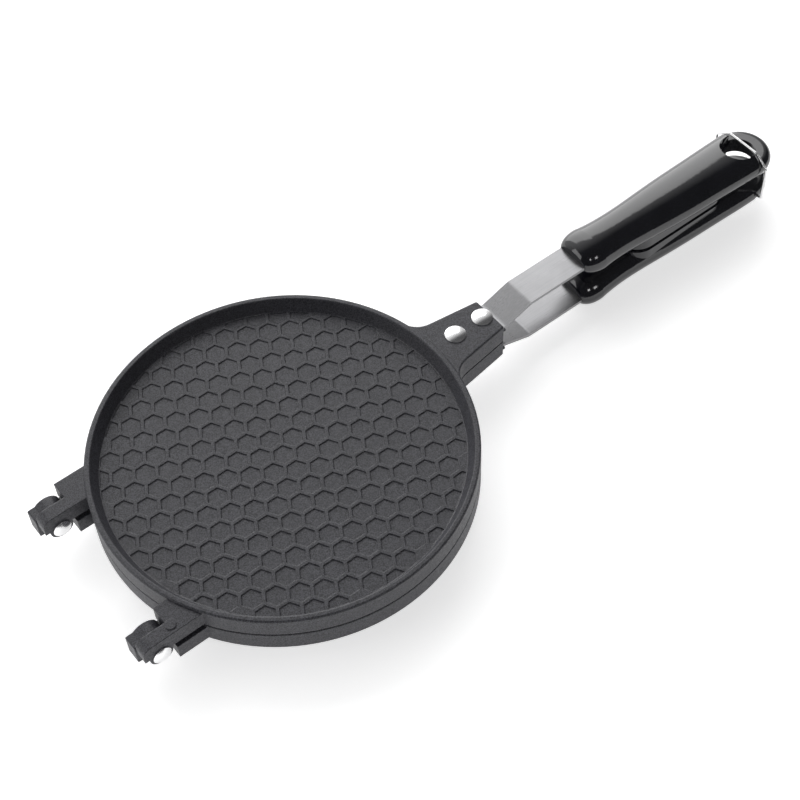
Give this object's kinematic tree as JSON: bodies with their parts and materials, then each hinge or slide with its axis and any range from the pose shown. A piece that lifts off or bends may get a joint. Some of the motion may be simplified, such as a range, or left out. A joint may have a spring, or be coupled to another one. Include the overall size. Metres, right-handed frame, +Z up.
{
  "type": "double-sided crepe pan",
  "caption": "Hinged round double-sided crepe pan: two cast plates with honeycomb outer floors, steel straps, black grips and a wire bail that holds it shut.",
  "frame": {"origin": "on the plates' common axis, in the plane of the lower plate's underside rim", "axes": "+X from the plate axis towards the grips, +Z up from the lower plate to the upper plate, +Y across the handle"},
  "size_m": [0.4582, 0.2, 0.0462],
  "materials": {
    "coated_aluminium": "matte speckled non-stick coating",
    "brushed_steel": "brushed",
    "black_bakelite": "gloss",
    "rivet_metal": "satin",
    "bail_wire": "bright"
  },
  "bodies": {
    "base": {"lower_plate": "coated_aluminium", "lower_strap": "brushed_steel", "lower_grip": "black_bakelite", "lower_rivet_1": "rivet_metal", "lower_rivet_2": "rivet_metal", "hinge_pin_left": "rivet_metal", "hinge_pin_right": "rivet_metal"},
    "lid": {"upper_plate": "coated_aluminium", "upper_strap": "brushed_steel", "upper_grip": "black_bakelite", "upper_rivet_1": "rivet_metal", "upper_rivet_2": "rivet_metal"},
    "bail": {"wire_bail": "bail_wire"}
  },
  "joints": [
    {"name": "lid_hinge", "type": "hinge", "parent": "base", "child": "lid", "pos_m": [-0.1093, 0, 0.0125], "axis": [0, -1, 0], "range_deg": [0, 105]},
    {"name": "bail_swing", "type": "hinge", "parent": "base", "child": "bail", "pos_m": [0.3226, 0, 0.0025], "axis": [0, 1, 0], "range_deg": [0, 100]}
  ]
}
